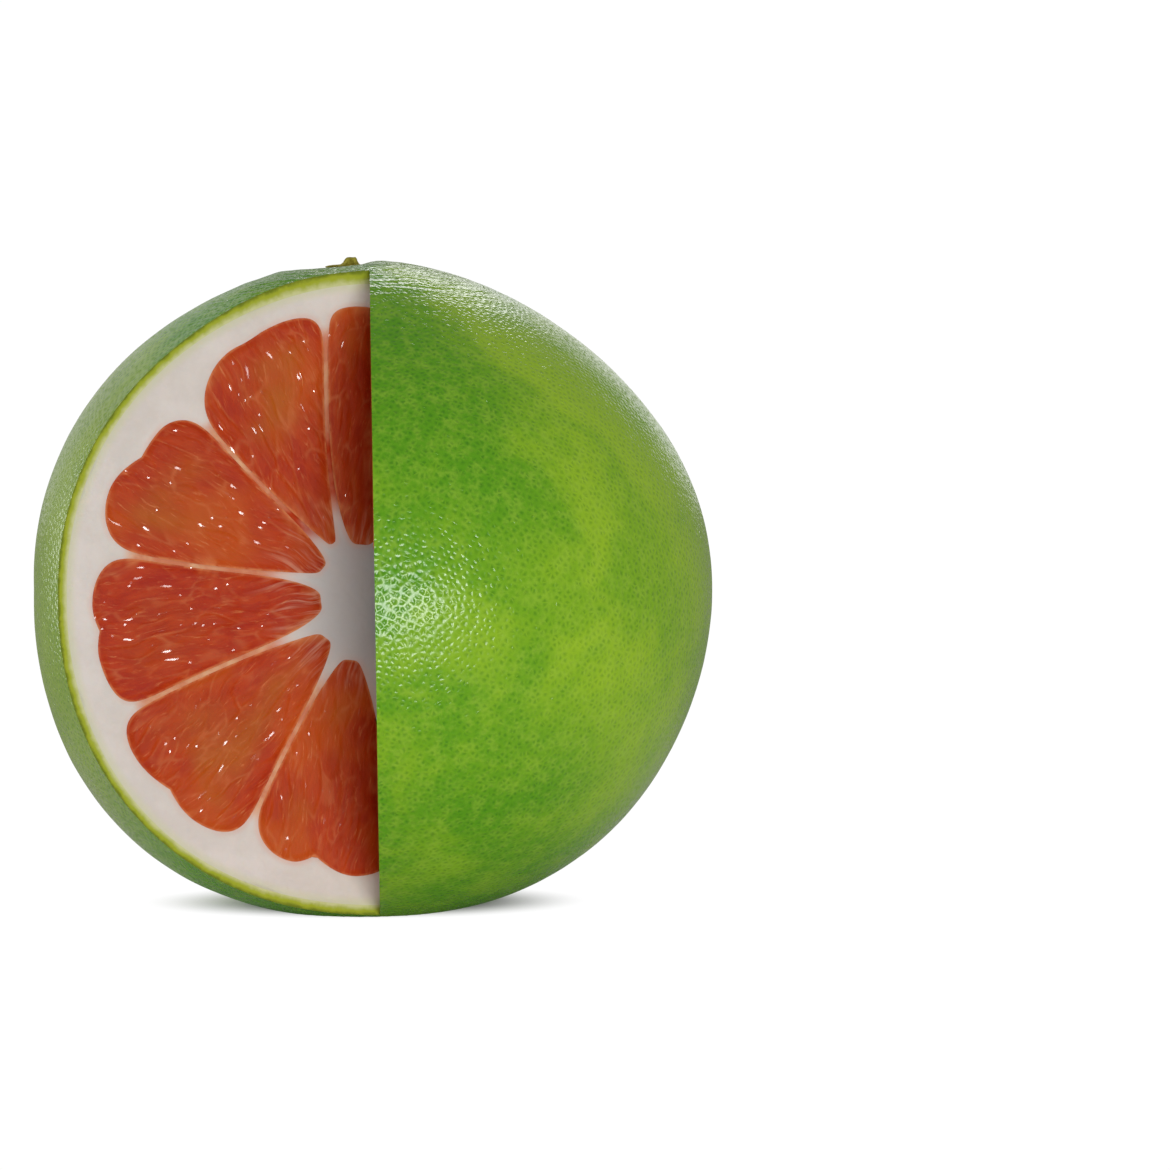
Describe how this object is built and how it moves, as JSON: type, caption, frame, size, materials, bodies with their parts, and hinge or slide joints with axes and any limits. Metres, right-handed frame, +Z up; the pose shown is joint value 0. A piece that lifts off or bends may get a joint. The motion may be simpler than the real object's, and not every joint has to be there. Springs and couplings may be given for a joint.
{
  "type": "pomelo",
  "caption": "Large round citrus fruit on a small flat spot, its front left quarter cut away to show the pith, the core and the wedge-shaped pulp segments.",
  "frame": {"origin": "centre of the bounding box's base, on the surface that the fruit stands on", "axes": "+Z up towards the stem button; -Y towards the viewer, where the quarter on the -X side is cut away; +X towards the uncut half"},
  "size_m": [0.1596, 0.1576, 0.1556],
  "materials": {
    "skin": "waxy green rind with fine oil glands, satin to glossy",
    "pith": "matt spongy cream-white pith",
    "pulp": "wet orange-red juice sacs",
    "stem": "dry, matt, olive-yellow"
  },
  "bodies": {
    "root": {"skin": "skin", "pith": "pith", "segment_1": "pulp", "segment_2": "pulp", "segment_3": "pulp", "segment_4": "pulp", "segment_5": "pulp", "segment_6": "pulp", "stem_button": "stem"}
  },
  "joints": []
}
